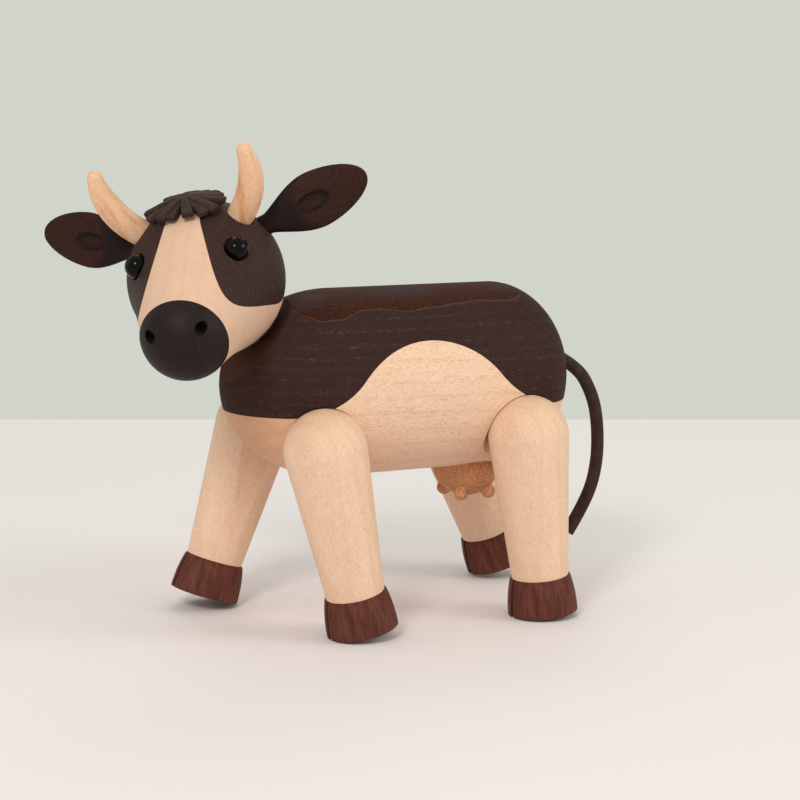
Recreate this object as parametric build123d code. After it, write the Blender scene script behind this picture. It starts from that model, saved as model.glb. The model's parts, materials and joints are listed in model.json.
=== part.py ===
from build123d import *
import os
from math import asin, atan, cos, hypot, pi, radians, sin, sqrt, tan

# A jointed wooden cow. It faces -X, its left side is -Y, +Z is up and it stands on Z = 0.
# All lengths are millimetres and all angles are degrees.

# Legs, measured along the leg from the hip axis
FRONT_HIP_X = -16.6
HIP_SPACING = 68.3
HIP_OFFSET_Y = 28.3
LEG_TOP_RADIUS = 12.5
LEG_END_RADIUS = 8.9
LEG_LENGTH = 44.7
LEG_FLAT_Y = 18.2
HOOF_HEIGHT = 11.6
HOOF_TOP_RADIUS = 9.5
HOOF_SOLE_RADIUS = 10.9
HOOF_BULGE = 0.35
HOOF_EDGE = 0.5
CLEFT_WIDTH = 1.5
CLEFT_DEPTH = 4.0
# Swing of each foot at rest, positive towards the tail
SWING = {"front_left": 12.1, "front_right": -18.5, "rear_left": 5.8, "rear_right": 21.0}
SWING_OUT = 35.0
SWING_IN = 22.0

# Torso, a turned form on an axis along X
TORSO_RADIUS = 29.0
TORSO_CENTRE_Z = 73.7
TORSO_FRONT_X = -37.5
TORSO_FRONT_ROUND = 35.0
TORSO_REAR_X = 76.1
TORSO_REAR_ROUND = 23.5
# Bell shaped glue line between the light belly and the dark back
BELL_X = 19.1
BELL_BASE_Z = 66.4
BELL_PEAK_Z = 88.0
BELL_HALF_WIDTH = 22.7

# Dowels, rings and the gaps between pieces
HIP_DOWEL_RADIUS = 4.0
HIP_DOWEL_IN_LEG = 12.0
HIP_DOWEL_IN_TORSO = 14.0
HOOF_DOWEL_RADIUS = 3.0
HOOF_DOWEL_IN_LEG = 9.0
HOOF_DOWEL_IN_HOOF = 7.0
RING_RADIUS = 5.5
RING_THICKNESS = 2.0
RING_DEPTH = 4.0
RUNNING_GAP = 0.06
PART_GAP = 0.3

# Head, a ball that draws in to the muzzle, in its own frame with the face towards -X
HEAD_X = -42.7
HEAD_Z = 106.9
HEAD_RADIUS = 23.6
CHEEK_HOLLOW_RADIUS = 150.0
MUZZLE_DISTANCE = 38.3
MUZZLE_RADIUS = 12.8
MUZZLE_DEPTH = 9.4
MUZZLE_DOWEL_RADIUS = 4.0
MUZZLE_DOWEL_IN_HEAD = 12.0
MUZZLE_DOWEL_IN_MUZZLE = 5.0
NOSTRIL_RADIUS = 1.7
NOSTRIL_DEPTH = 4.0
NOSTRIL_Y = 7.4
NOSTRIL_Z = 5.5
PATCH_LEAN = 26.8
PATCH_OFFSET = 14.7
# Neck face tilt from level, and the head's three angles at rest
NECK_LEAN = 50.0
HEAD_TURN = 49.25
HEAD_TILT = 30.0
HEAD_DROP = 41.9
HEAD_TILT_LIMIT = 35.0

# Neck stud, measured along the neck axis from the head's centre
STUD_RADIUS = 4.0
TONGUE_THICKNESS = 6.0
CROSS_PIN_RADIUS = 2.0
CROSS_PIN_FRONT = 12.0
BUSH_RADIUS = 6.0
BUSH_LENGTH = 12.0
WASHER_RADIUS = 6.5
WASHER_THICKNESS = 1.2
NUT_ACROSS_FLATS = 11.0
NUT_THICKNESS = 5.0
CHAMBER_RADIUS = 7.5
STUD_OVERHANG = 1.5

# Eyes
EYE_X = -12.8
EYE_AROUND = 48.1
EYE_RADIUS = 3.6
EYE_BULGE = 2.6
EYE_RECESS_RADIUS = 4.2
EYE_RECESS_DEPTH = 1.0
EYE_SHANK_RADIUS = 1.5
EYE_SHANK_LENGTH = 6.0

# Horns, from the seat in the head to the tip, for the right side
HORN_BASE = (1.4, 14.4, 16.9)
HORN_MIDDLE = (-0.6, 22.3, 28.6)
HORN_TIP = (-2.3, 22.6, 42.1)
HORN_BASE_RADIUS = 4.0
HORN_TIP_RADIUS = 1.5
HORN_TAPER = 3.0
HORN_STATIONS = (0, 0.35, 0.7, 1)
HORN_SEAT_DEPTH = 3.0
HORN_PEG_RADIUS = 2.5
HORN_PEG_LENGTH = 6.0

# Ears, leaves from the head's surface to the tip, for the right side
EAR_BASE = (7.2, 21.1, 11.0)
EAR_TIP = (20.3, 51.0, 15.7)
EAR_FACING = (-0.875, 0.325, 0.356)
EAR_BASE_WIDTH = 7.0
EAR_WIDTH = 17.5
EAR_THICKNESS = 4.6
EAR_TIP_WIDTH = 4.0
EAR_EDGE = 1.6
EAR_DIMPLE_ALONG = 14.5
EAR_DIMPLE_LENGTH = 8.0
EAR_DIMPLE_WIDTH = 4.6
EAR_DIMPLE_DEPTH = 1.1
EAR_PEG_RADIUS = 2.4
EAR_PEG_LENGTH = 7.0

# Leather forelock, a rosette of petals bent over the crown
FORELOCK_RADIUS = 12.2
FORELOCK_THICKNESS = 2.3
FORELOCK_SET_BACK = 15.3
PETAL_COUNT = 13
PETAL_WIDTH = 4.5
PETAL_ROOT_RADIUS = 3.0

# Udder and teats
UDDER_X = 44.7
UDDER_RADIUS = 11.0
UDDER_BOTTOM_Z = 35.7
TEAT_RADIUS = 2.2
TEAT_LENGTH = 10.0
TEAT_SPREAD_X = 5.6
TEAT_SPREAD_Y = 6.4
TEAT_TIP_Z = 34.1

# Leather cord tail in the middle plane, X and Z of each point from the bore's end to the cut end
TAIL_RADIUS = 2.1
TAIL_POINTS = [
    (70.6, 81.2),
    (80.9, 76.9),
    (88.7, 68.7),
    (93.5, 57.2),
    (94.3, 44.7),
    (90.7, 32.2),
    (84.7, 20.7),
]
TAIL_RUN_SHARE = 0.45

# Sizes and places that follow from those above
LEG_REACH = LEG_LENGTH + HOOF_HEIGHT
HIP_Z = max(LEG_REACH * cos(radians(a)) + HOOF_SOLE_RADIUS * sin(radians(abs(a))) for a in SWING.values())
REAR_HIP_X = FRONT_HIP_X + HIP_SPACING
FAR = 4 * TORSO_RADIUS
NECK_AXIS = (-sin(radians(NECK_LEAN)), 0, cos(radians(NECK_LEAN)))
TILT_AXIS = (cos(radians(NECK_LEAN)), 0, sin(radians(NECK_LEAN)))
HEAD_CENTRE = (HEAD_X, 0, HEAD_Z)
FACE_DISTANCE = HEAD_RADIUS + PART_GAP
NECK_FRAME = Plane((0, 0, 0), x_dir=TILT_AXIS, z_dir=NECK_AXIS).location
NECK_POSE = Pos(*HEAD_CENTRE) * Location((0, 0, 0), NECK_AXIS, HEAD_TURN)
HEAD_POSE = NECK_POSE * Location((0, 0, 0), TILT_AXIS, HEAD_TILT) * Rot(0, -HEAD_DROP, 0)


def cylinder_between(radius, start, end):
    """A round bar from one point to another."""
    start = Vector(*start)
    along = Vector(*end) - start
    return extrude(Plane(start, z_dir=along) * Circle(radius), along.length)


def half_space(origin, normal):
    """A large block on the side of a plane that its normal points to."""
    return Plane(origin, z_dir=normal) * Pos(0, 0, FAR) * Box(4 * FAR, 4 * FAR, 2 * FAR)


def hip_place(corner):
    """The hip centre of one leg and its side, -1 for the left and 1 for the right."""
    side = -1 if corner.endswith("left") else 1
    x = FRONT_HIP_X if corner.startswith("front") else REAR_HIP_X
    return x, side * HIP_OFFSET_Y, HIP_Z, side


def leg_blank(extra):
    """The turned leg below its hip at the origin, grown by extra, before its inner side is planed flat."""
    top = LEG_TOP_RADIUS + extra
    end = LEG_END_RADIUS + extra
    diagonal = top * sin(pi / 4)
    outline = [
        ThreePointArc((0, top), (diagonal, diagonal), (top, 0)),
        Line((top, 0), (end, -LEG_LENGTH)),
        Line((end, -LEG_LENGTH), (0, -LEG_LENGTH)),
        Line((0, -LEG_LENGTH), (0, top)),
    ]
    return revolve(Plane.XZ * make_face(outline), Axis.Z)


def planed(blank, side, extra):
    """A leg blank with the side that faces the torso planed flat."""
    flat = HIP_OFFSET_Y - LEG_FLAT_Y + extra
    return blank - half_space((0, -side * flat, 0), (0, -side, 0))


def make_leg(side):
    """A leg with the bores for its hip dowel and its hoof dowel."""
    leg = planed(leg_blank(0), side, 0)
    flat = side * (LEG_FLAT_Y - HIP_OFFSET_Y)
    leg -= cylinder_between(HIP_DOWEL_RADIUS, (0, flat, 0), (0, flat + side * HIP_DOWEL_IN_LEG, 0))
    leg -= cylinder_between(HOOF_DOWEL_RADIUS, (0, 0, -LEG_LENGTH), (0, 0, HOOF_DOWEL_IN_LEG - LEG_LENGTH))
    return leg


def make_hip_dowel(side):
    """The dowel glued in the leg, which turns in the torso."""
    inner = side * (LEG_FLAT_Y - HIP_OFFSET_Y - HIP_DOWEL_IN_TORSO)
    outer = side * (LEG_FLAT_Y - HIP_OFFSET_Y + HIP_DOWEL_IN_LEG)
    return cylinder_between(HIP_DOWEL_RADIUS, (0, inner, 0), (0, outer, 0))


def make_hoof():
    """A barrel shaped hoof with a sawn cleft in front and a bore for its dowel."""
    top = -LEG_LENGTH
    sole = -LEG_REACH
    middle = (HOOF_TOP_RADIUS + HOOF_SOLE_RADIUS) / 2 + HOOF_BULGE
    outline = [
        Line((0, top), (HOOF_TOP_RADIUS - HOOF_EDGE, top)),
        Line((HOOF_TOP_RADIUS - HOOF_EDGE, top), (HOOF_TOP_RADIUS, top - HOOF_EDGE)),
        ThreePointArc((HOOF_TOP_RADIUS, top - HOOF_EDGE), (middle, (top + sole) / 2), (HOOF_SOLE_RADIUS, sole)),
        Line((HOOF_SOLE_RADIUS, sole), (0, sole)),
        Line((0, sole), (0, top)),
    ]
    hoof = revolve(Plane.XZ * make_face(outline), Axis.Z)
    cleft_x = CLEFT_DEPTH - 2 * HOOF_SOLE_RADIUS
    hoof -= Pos(cleft_x, 0, (top + sole) / 2) * Box(2 * HOOF_SOLE_RADIUS, CLEFT_WIDTH, 2 * HOOF_HEIGHT)
    return hoof - cylinder_between(HOOF_DOWEL_RADIUS, (0, 0, top), (0, 0, top - HOOF_DOWEL_IN_HOOF))


def make_hoof_dowel():
    """The dowel that joins a hoof to its leg."""
    return cylinder_between(
        HOOF_DOWEL_RADIUS, (0, 0, -LEG_LENGTH - HOOF_DOWEL_IN_HOOF), (0, 0, HOOF_DOWEL_IN_LEG - LEG_LENGTH)
    )


def make_torso():
    """The whole turned torso, before it is cut for the legs, the head and the tail."""
    front = TORSO_FRONT_X + TORSO_FRONT_ROUND
    rear = TORSO_REAR_X - TORSO_REAR_ROUND
    outline = [
        EllipticalCenterArc((front, 0), TORSO_FRONT_ROUND, TORSO_RADIUS, start_angle=90, arc_size=90),
        Line((front, TORSO_RADIUS), (rear, TORSO_RADIUS)),
        EllipticalCenterArc((rear, 0), TORSO_REAR_ROUND, TORSO_RADIUS, start_angle=0, arc_size=90),
        Line((TORSO_FRONT_X, 0), (TORSO_REAR_X, 0)),
    ]
    return Pos(0, 0, TORSO_CENTRE_Z) * revolve(Plane.XZ * make_face(outline), Axis.X)


def make_belly_region():
    """Everything below the glue line, whose bell is four arcs of one radius that meet tangent."""
    rise = BELL_PEAK_Z - BELL_BASE_Z
    half_turn = atan(rise / 2 / BELL_HALF_WIDTH)
    radius = BELL_HALF_WIDTH / sin(2 * half_turn)
    along = radius * sin(half_turn)
    above = radius * (1 - cos(half_turn))
    foot = 2 * BELL_HALF_WIDTH
    middle_z = BELL_BASE_Z + rise / 2
    low = TORSO_CENTRE_Z - FAR
    outline = [
        Line((BELL_X - FAR, low), (BELL_X - FAR, BELL_BASE_Z)),
        Line((BELL_X - FAR, BELL_BASE_Z), (BELL_X - foot, BELL_BASE_Z)),
        ThreePointArc(
            (BELL_X - foot, BELL_BASE_Z),
            (BELL_X - foot + along, BELL_BASE_Z + above),
            (BELL_X - BELL_HALF_WIDTH, middle_z),
        ),
        ThreePointArc(
            (BELL_X - BELL_HALF_WIDTH, middle_z),
            (BELL_X, BELL_PEAK_Z),
            (BELL_X + BELL_HALF_WIDTH, middle_z),
        ),
        ThreePointArc(
            (BELL_X + BELL_HALF_WIDTH, middle_z),
            (BELL_X + foot - along, BELL_BASE_Z + above),
            (BELL_X + foot, BELL_BASE_Z),
        ),
        Line((BELL_X + foot, BELL_BASE_Z), (BELL_X + FAR, BELL_BASE_Z)),
        Line((BELL_X + FAR, BELL_BASE_Z), (BELL_X + FAR, low)),
        Line((BELL_X + FAR, low), (BELL_X - FAR, low)),
    ]
    return extrude(Plane.XZ * make_face(outline), FAR, both=True)


def hip_pocket(corner):
    """What one swinging leg, its dowel and its friction ring take out of the torso."""
    x, y, z, side = hip_place(corner)
    forward, back = (SWING_OUT, SWING_IN) if corner.startswith("front") else (SWING_IN, SWING_OUT)
    form = planed(leg_blank(PART_GAP), side, PART_GAP)
    pocket = Rot(0, forward, 0) * form + Rot(0, -back, 0) * form
    # The stretch between the two ends of the swing, down to the flat
    fan = [(0, 0)]
    for angle in (-forward, back):
        fan.append((FAR * sin(radians(angle)), side * FAR * cos(radians(angle))))
    floor = side * (LEG_FLAT_Y - HIP_OFFSET_Y - PART_GAP)
    fan_plane = Plane((0, floor, 0), x_dir=(1, 0, 0), z_dir=(0, side, 0))
    fan_face = fan_plane * Polygon(fan, align=None)
    pocket += extrude(fan_face, HIP_OFFSET_Y, dir=(0, side, 0))
    inner = floor - side * HIP_DOWEL_IN_TORSO
    pocket += cylinder_between(HIP_DOWEL_RADIUS + RUNNING_GAP, (0, 0, 0), (0, inner, 0))
    groove = floor - side * RING_DEPTH
    pocket += cylinder_between(RING_RADIUS, (0, groove, 0), (0, groove - side * RING_THICKNESS, 0))
    return Pos(x, y, z) * pocket


def make_ring(corner):
    """The rubber ring at one hip, in a groove inside the torso's bore, round the dowel."""
    x, y, z, side = hip_place(corner)
    front = side * (LEG_FLAT_Y - PART_GAP - RING_DEPTH)
    back = front - side * RING_THICKNESS
    ring = cylinder_between(RING_RADIUS, (x, back, z), (x, front, z))
    return ring - cylinder_between(HIP_DOWEL_RADIUS + RUNNING_GAP, (x, back, z), (x, front, z))


def along_neck(radius, start, end):
    """A round bar on the neck axis between two distances below the head's centre."""
    return NECK_FRAME * cylinder_between(radius, (0, 0, -start), (0, 0, -end))


def make_neck():
    """The stud with its flat tongue, and the nut and washer that hold it in the torso."""
    bush_end = FACE_DISTANCE + BUSH_LENGTH
    nut_start = bush_end + WASHER_THICKNESS
    nut_end = nut_start + NUT_THICKNESS
    stud = cylinder_between(STUD_RADIUS, (0, 0, 0), (0, 0, -nut_end - STUD_OVERHANG))
    tongue_end = FACE_DISTANCE - PART_GAP
    side_block = Box(FAR, FAR, tongue_end + STUD_RADIUS)
    for side in (-1, 1):
        x = side * (TONGUE_THICKNESS + FAR) / 2
        stud -= Pos(x, 0, (STUD_RADIUS - tongue_end) / 2) * side_block
    half = TONGUE_THICKNESS / 2
    stud += cylinder_between(STUD_RADIUS, (-half, 0, 0), (half, 0, 0))
    stud -= cylinder_between(CROSS_PIN_RADIUS + RUNNING_GAP, (-half, 0, 0), (half, 0, 0))
    nut_radius = NUT_ACROSS_FLATS / sqrt(3)
    nut = Pos(0, 0, -nut_end) * extrude(RegularPolygon(nut_radius, 6), NUT_THICKNESS)
    nut -= cylinder_between(STUD_RADIUS, (0, 0, -nut_start), (0, 0, -nut_end))
    washer = along_neck(WASHER_RADIUS, bush_end, nut_start - RUNNING_GAP)
    washer -= along_neck(STUD_RADIUS + RUNNING_GAP, bush_end, nut_start)
    bush = along_neck(BUSH_RADIUS, FACE_DISTANCE, bush_end)
    bush -= along_neck(STUD_RADIUS + RUNNING_GAP, FACE_DISTANCE, bush_end)
    to_head = Pos(*HEAD_CENTRE)
    return NECK_POSE * NECK_FRAME * stud, NECK_POSE * NECK_FRAME * nut, to_head * washer, to_head * bush


def neck_cut():
    """What the neck takes out of the torso: the flat face, the bush's bore and the nut's chamber."""
    bush_end = FACE_DISTANCE + BUSH_LENGTH
    chamber_end = bush_end + WASHER_THICKNESS + NUT_THICKNESS + STUD_OVERHANG + PART_GAP
    face = Vector(*NECK_AXIS) * -FACE_DISTANCE
    cut = half_space(face, NECK_AXIS)
    cut += along_neck(BUSH_RADIUS, 0, bush_end)
    cut += along_neck(CHAMBER_RADIUS, bush_end, chamber_end)
    return Pos(*HEAD_CENTRE) * cut


def cheek_arc():
    """The centre of the cheeks' hollow arc in the outline's plane, and the point where it leaves the ball."""
    reach = hypot(MUZZLE_DISTANCE, MUZZLE_RADIUS)
    outer = HEAD_RADIUS + CHEEK_HOLLOW_RADIUS
    along = (outer**2 - CHEEK_HOLLOW_RADIUS**2 + reach**2) / (2 * reach)
    across = sqrt(outer**2 - along**2)
    ux, uy = -MUZZLE_DISTANCE / reach, MUZZLE_RADIUS / reach
    centre = Vector(along * ux + across * uy, along * uy - across * ux)
    return centre, centre * (HEAD_RADIUS / outer)


def head_surface(x):
    """The head's radius at a place on its axis, and how far its surface leans to the face there."""
    centre, tangent = cheek_arc()
    if x > tangent.X:
        return sqrt(HEAD_RADIUS**2 - x**2), asin(-x / HEAD_RADIUS)
    back = x - centre.X
    return centre.Y - sqrt(CHEEK_HOLLOW_RADIUS**2 - back**2), asin(back / CHEEK_HOLLOW_RADIUS)


def make_head_form():
    """The head as turned: a ball whose cheeks draw in on a hollow arc, tangent to it, to the muzzle's rim."""
    tangent = cheek_arc()[1]
    rim = Vector(-MUZZLE_DISTANCE, MUZZLE_RADIUS)
    cheek_x = (tangent.X + rim.X) / 2
    cheek_radius = head_surface(cheek_x)[0]
    outline = [
        ThreePointArc((HEAD_RADIUS, 0), (HEAD_RADIUS * sin(pi / 4), HEAD_RADIUS * cos(pi / 4)), tangent),
        ThreePointArc(tangent, (cheek_x, cheek_radius), rim),
        Line(rim, (-MUZZLE_DISTANCE, 0)),
        Line((-MUZZLE_DISTANCE, 0), (HEAD_RADIUS, 0)),
    ]
    return revolve(Plane.XY * make_face(outline), Axis.X)


def make_muzzle():
    """The domed muzzle with two drilled nostrils and the bore for its dowel."""
    ball = (MUZZLE_RADIUS**2 + MUZZLE_DEPTH**2) / (2 * MUZZLE_DEPTH)
    centre_x = ball - MUZZLE_DISTANCE - MUZZLE_DEPTH
    muzzle = Pos(centre_x, 0, 0) * Sphere(ball) - half_space((-MUZZLE_DISTANCE, 0, 0), (1, 0, 0))
    out = sqrt(ball**2 - NOSTRIL_Y**2 - NOSTRIL_Z**2)
    floor = NOSTRIL_DEPTH + centre_x - out
    for side in (-1, 1):
        y = side * NOSTRIL_Y
        muzzle -= cylinder_between(NOSTRIL_RADIUS, (floor, y, NOSTRIL_Z), (-FAR, y, NOSTRIL_Z))
    bore_end = -MUZZLE_DISTANCE - MUZZLE_DOWEL_IN_MUZZLE
    return muzzle - cylinder_between(MUZZLE_DOWEL_RADIUS, (-MUZZLE_DISTANCE, 0, 0), (bore_end, 0, 0))


def make_muzzle_dowel():
    """The dowel that joins the muzzle to the head."""
    return cylinder_between(
        MUZZLE_DOWEL_RADIUS,
        (-MUZZLE_DISTANCE - MUZZLE_DOWEL_IN_MUZZLE, 0, 0),
        (-MUZZLE_DISTANCE + MUZZLE_DOWEL_IN_HEAD, 0, 0),
    )


def neck_slot():
    """The slot in the head's underside, wide enough for the stud's tongue over the whole tilt."""
    half = STUD_RADIUS + PART_GAP
    thickness = TONGUE_THICKNESS + 2 * PART_GAP
    length = 2 * HEAD_RADIUS
    outline = Circle(half)
    fan = [(0, 0)]
    for angle in (-HEAD_TILT_LIMIT, HEAD_TILT_LIMIT):
        outline += Rot(0, 0, angle) * Pos(0, -length / 2) * Rectangle(2 * half, length)
        fan.append((length * sin(radians(angle)), -length * cos(radians(angle))))
    outline += Polygon(fan, align=None)
    slot = extrude(Plane.YZ * outline, thickness / 2, both=True)
    return Rot(0, HEAD_DROP, 0) * NECK_FRAME * slot


def make_cross_pin():
    """The pin through the stud's tongue, let in from the back of the head and cut flush with the ball."""
    return cross_pin_bore() - (Sphere(2 * HEAD_RADIUS) - Sphere(HEAD_RADIUS))


def cross_pin_bore():
    """The bore of the cross pin, which runs out of the back of the head."""
    bore = cylinder_between(CROSS_PIN_RADIUS, (-CROSS_PIN_FRONT, 0, 0), (HEAD_RADIUS + CROSS_PIN_RADIUS, 0, 0))
    return Rot(0, HEAD_DROP, 0) * NECK_FRAME * bore


def eye_frame(side):
    """The seat of one eye on the head's surface, with Z pointing out of the head."""
    around = radians(EYE_AROUND)
    radius, lean = head_surface(EYE_X)
    facing = Vector(-sin(lean), side * cos(lean) * sin(around), cos(lean) * cos(around))
    place = Vector(EYE_X, side * radius * sin(around), radius * cos(around))
    return Plane(place, z_dir=facing).location


def make_eye(side):
    """A glass eye, a shallow dome on a disc with a shank."""
    dome_radius = (EYE_RADIUS**2 + EYE_BULGE**2) / (2 * EYE_BULGE)
    disc = Pos(0, 0, -EYE_RECESS_DEPTH) * extrude(Circle(EYE_RADIUS), EYE_RECESS_DEPTH)
    dome = Pos(0, 0, EYE_BULGE - dome_radius) * Sphere(dome_radius)
    dome -= Pos(0, 0, -FAR / 2) * Box(FAR, FAR, FAR)
    shank = Pos(0, 0, -EYE_RECESS_DEPTH) * extrude(Circle(EYE_SHANK_RADIUS), -EYE_SHANK_LENGTH)
    return eye_frame(side) * (disc + dome + shank)


def eye_cut(side):
    """The ring shaped recess and the hole that an eye sits in."""
    recess = Pos(0, 0, -EYE_RECESS_DEPTH) * extrude(Circle(EYE_RECESS_RADIUS), HEAD_RADIUS)
    hole = Pos(0, 0, -EYE_RECESS_DEPTH) * extrude(Circle(EYE_SHANK_RADIUS), -EYE_SHANK_LENGTH)
    return eye_frame(side) * (recess + hole)


def on_side(point, side):
    """A point given for the right side, taken to one side."""
    return Vector(point[0], side * point[1], point[2])


def horn_path(side):
    """The arc that a horn follows from its seat to its tip."""
    return ThreePointArc(on_side(HORN_BASE, side), on_side(HORN_MIDDLE, side), on_side(HORN_TIP, side))


def make_horn(side):
    """A curved, tapering horn with a rounded tip and a peg below its seat."""
    path = horn_path(side)
    sections = []
    for share in HORN_STATIONS:
        radius = HORN_BASE_RADIUS + (HORN_TIP_RADIUS - HORN_BASE_RADIUS) * share**HORN_TAPER
        sections.append(Plane(path @ share, z_dir=path % share) * Circle(radius))
    horn = loft(sections) + Pos(path @ 1) * Sphere(HORN_TIP_RADIUS)
    return horn + cylinder_between(HORN_PEG_RADIUS, path @ 0, path @ 0 - (path % 0) * HORN_PEG_LENGTH)


def horn_cut(side):
    """The spot face and the hole that a horn sits in."""
    path = horn_path(side)
    seat = path @ 0
    along = path % 0
    spot = cylinder_between(HORN_BASE_RADIUS + PART_GAP, seat, seat + along * (2 * HORN_SEAT_DEPTH))
    return spot + cylinder_between(HORN_PEG_RADIUS, seat, seat - along * HORN_PEG_LENGTH)


def ear_frame(side):
    """The frame of one ear, with X along the leaf and Z out of its front."""
    base = on_side(EAR_BASE, side)
    return Plane(base, x_dir=on_side(EAR_TIP, side) - base, z_dir=on_side(EAR_FACING, side)).location


def ear_peg(side):
    """The round peg that holds an ear in the head."""
    return ear_frame(side) * cylinder_between(EAR_PEG_RADIUS, (-EAR_PEG_LENGTH, 0, 0), (EAR_PEG_RADIUS, 0, 0))


def make_ear(side):
    """A leaf crowned on both faces with an oval hollow in front, its base shaped to the head, on a peg."""
    length = (Vector(*EAR_TIP) - Vector(*EAR_BASE)).length
    base, width, tip = EAR_BASE_WIDTH / 2, EAR_WIDTH / 2, EAR_TIP_WIDTH / 2
    start, middle, end = -EAR_BASE_WIDTH / 2, length / 2, length - tip
    outline = [
        Line((start, -base), (start, base)),
        ThreePointArc((start, base), (middle, width), (end, tip)),
        ThreePointArc((end, tip), (length, 0), (end, -tip)),
        ThreePointArc((end, -tip), (middle, -width), (start, -base)),
    ]
    leaf = extrude(make_face(outline), EAR_THICKNESS / 2, both=True)
    sag = (EAR_THICKNESS - EAR_EDGE) / 2
    crown = (width**2 + sag**2) / (2 * sag)
    for face in (-1, 1):
        axis_z = face * (EAR_THICKNESS / 2 - crown)
        leaf &= cylinder_between(crown, (-length, 0, axis_z), (2 * length, 0, axis_z))
    hollow = scale(Sphere(1), by=(EAR_DIMPLE_LENGTH / 2, EAR_DIMPLE_WIDTH / 2, EAR_DIMPLE_DEPTH))
    leaf -= Pos(EAR_DIMPLE_ALONG, 0, EAR_THICKNESS / 2) * hollow
    return ear_frame(side) * leaf - Sphere(HEAD_RADIUS) + ear_peg(side)


def make_forelock():
    """A rosette of petals cut from one piece of leather and bent over the crown."""
    petals = Circle(2 * PETAL_ROOT_RADIUS)
    run = FORELOCK_RADIUS - PETAL_ROOT_RADIUS - PETAL_WIDTH / 2
    for index in range(PETAL_COUNT):
        petal = Pos(PETAL_ROOT_RADIUS + run / 2, 0) * SlotCenterToCenter(run, PETAL_WIDTH)
        petals += Rot(0, 0, 360 * index / PETAL_COUNT) * petal
    cap = extrude(petals, 2 * HEAD_RADIUS) & Sphere(HEAD_RADIUS + FORELOCK_THICKNESS)
    return Rot(0, FORELOCK_SET_BACK, 0) * (cap - Sphere(HEAD_RADIUS))


def make_udder(torso):
    """A round udder on the belly, drilled for its teats."""
    ball = Pos(UDDER_X, 0, UDDER_BOTTOM_Z + UDDER_RADIUS) * Sphere(UDDER_RADIUS)
    teats = []
    for along in (-1, 1):
        for side in (-1, 1):
            x = UDDER_X + along * TEAT_SPREAD_X
            y = side * TEAT_SPREAD_Y
            foot = TEAT_TIP_Z + TEAT_RADIUS
            bar = cylinder_between(TEAT_RADIUS, (x, y, foot), (x, y, TEAT_TIP_Z + TEAT_LENGTH))
            teats.append(bar + Pos(x, y, foot) * Sphere(TEAT_RADIUS))
    udder = ball - torso
    for teat in teats:
        udder -= teat
    return udder, [teat - torso for teat in teats]


def make_tail():
    """The cord along straight runs joined by tangent arcs, as large as its runs allow."""
    points = [Vector(x, 0, z) for x, z in TAIL_POINTS]
    runs = [b - a for a, b in zip(points, points[1:])]
    radii = []
    for before, after in zip(runs, runs[1:]):
        half_turn = radians(before.get_angle(after)) / 2
        radii.append(TAIL_RUN_SHARE * min(before.length, after.length) / tan(half_turn))
    path = FilletPolyline(*points, radius=radii)
    tail = sweep(Plane(points[0], z_dir=runs[0]) * Circle(TAIL_RADIUS), path)
    print("tail radii", [round(r, 1) for r in radii])
    plain_volume = pi * TAIL_RADIUS**2 * path.length
    print("tail length", round(path.length, 1), "volume share", round(tail.volume / plain_volume, 4))
    return tail


def tail_bore():
    """The straight bore in the rump that the cord is glued in."""
    start, end = [Vector(x, 0, z) for x, z in TAIL_POINTS[:2]]
    return cylinder_between(TAIL_RADIUS, start, end)


def build():
    """Every piece of the cow by name, each in its place."""
    parts = {}
    torso = make_torso()
    cuts = [neck_cut(), tail_bore()] + [hip_pocket(corner) for corner in SWING]
    udder, teats = make_udder(torso)
    for cut in cuts:
        torso -= cut
    below = make_belly_region()
    parts["back_block"] = torso - below
    parts["belly_block"] = torso & below
    parts["udder"] = udder
    parts["teats"] = Compound(children=teats)
    parts["tail"] = make_tail()
    parts["hip_friction_rings"] = Compound(children=[make_ring(corner) for corner in SWING])

    stud, nut, washer, bush = make_neck()
    parts["neck_stud"] = stud
    parts["neck_nut"] = nut
    parts["neck_spring_washer"] = washer
    parts["neck_bush"] = bush

    form = make_head_form() - neck_slot() - cross_pin_bore() - make_muzzle_dowel()
    for side, word in ((-1, "left"), (1, "right")):
        lean = radians(PATCH_LEAN)
        normal = Vector(0, side * cos(lean), sin(lean))
        glue = normal * PATCH_OFFSET
        patch = form - half_space(glue, normal * -1)
        form -= half_space(glue, normal)
        for cut in (eye_cut(side), horn_cut(side), ear_peg(side)):
            patch -= cut
            form -= cut
        parts[word + "_face_patch"] = HEAD_POSE * patch
        parts[word + "_eye"] = HEAD_POSE * make_eye(side)
        parts[word + "_horn"] = HEAD_POSE * make_horn(side)
        parts[word + "_ear"] = HEAD_POSE * make_ear(side)
    parts["head_core"] = HEAD_POSE * form
    parts["muzzle"] = HEAD_POSE * make_muzzle()
    parts["muzzle_dowel"] = HEAD_POSE * make_muzzle_dowel()
    parts["forelock"] = HEAD_POSE * make_forelock()
    parts["neck_cross_pin"] = HEAD_POSE * make_cross_pin()

    for corner, angle in SWING.items():
        x, y, z, side = hip_place(corner)
        place = Pos(x, y, z) * Rot(0, -angle, 0)
        parts[corner + "_leg"] = place * make_leg(side)
        parts[corner + "_hoof"] = place * make_hoof()
        parts[corner + "_hip_dowel"] = place * make_hip_dowel(side)
        parts[corner + "_hoof_dowel"] = place * make_hoof_dowel()
    return parts


os.makedirs("parts", exist_ok=True)
for name, shape in build().items():
    export_step(shape, os.path.join("parts", name + ".step"))
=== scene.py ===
import json
from math import cos, pi, radians, sin

import bpy
import numpy as np
from bpy.props import FloatProperty, FloatVectorProperty, IntProperty, PointerProperty
from mathutils import Matrix, Vector


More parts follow.
